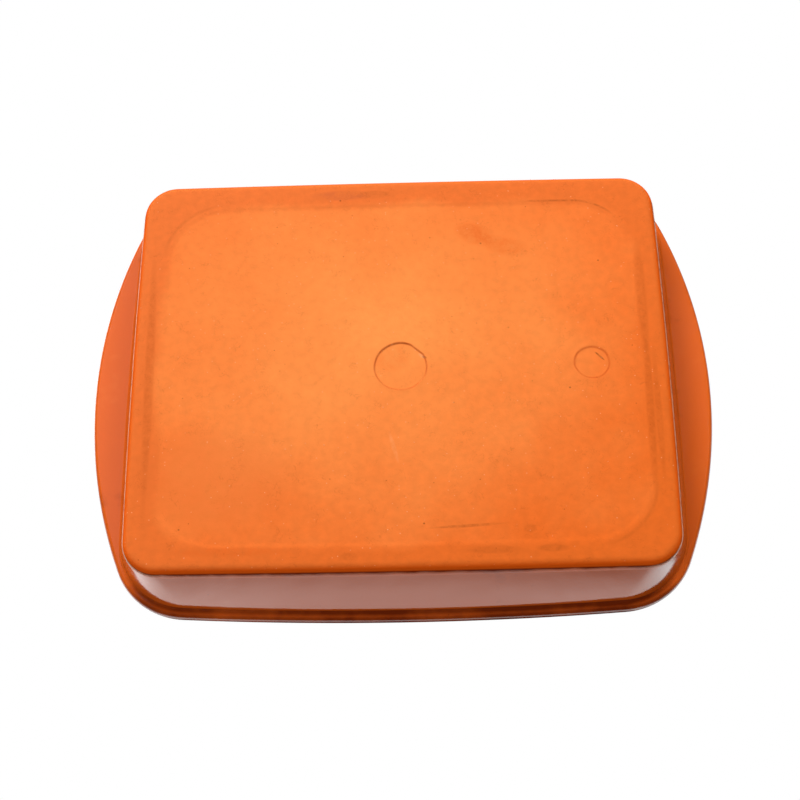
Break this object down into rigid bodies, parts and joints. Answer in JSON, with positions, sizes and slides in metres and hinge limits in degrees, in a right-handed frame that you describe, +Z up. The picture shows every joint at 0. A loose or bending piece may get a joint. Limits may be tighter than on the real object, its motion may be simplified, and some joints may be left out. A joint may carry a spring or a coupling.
{
  "type": "baking dish",
  "caption": "Rectangular earthenware baking dish with leaning walls, a rim that swells into lug handles, a honey-brown glaze and a bare clay base.",
  "frame": {"origin": "middle of the foot, in the plane that the dish stands on", "axes": "+X along the length through both lugs, +Y across the width, +Z up out of the mouth"},
  "size_m": [0.37, 0.286, 0.044],
  "materials": {
    "bare_clay": "fired red earthenware, unglazed and matt",
    "outer_glaze": "clear honey-brown glaze over red clay, glossy",
    "inner_glaze": "clear honey-brown glaze over red clay, glossy"
  },
  "bodies": {
    "root": {"clay_body": "bare_clay", "outer_glaze": "outer_glaze", "inner_glaze": "inner_glaze"}
  },
  "joints": []
}
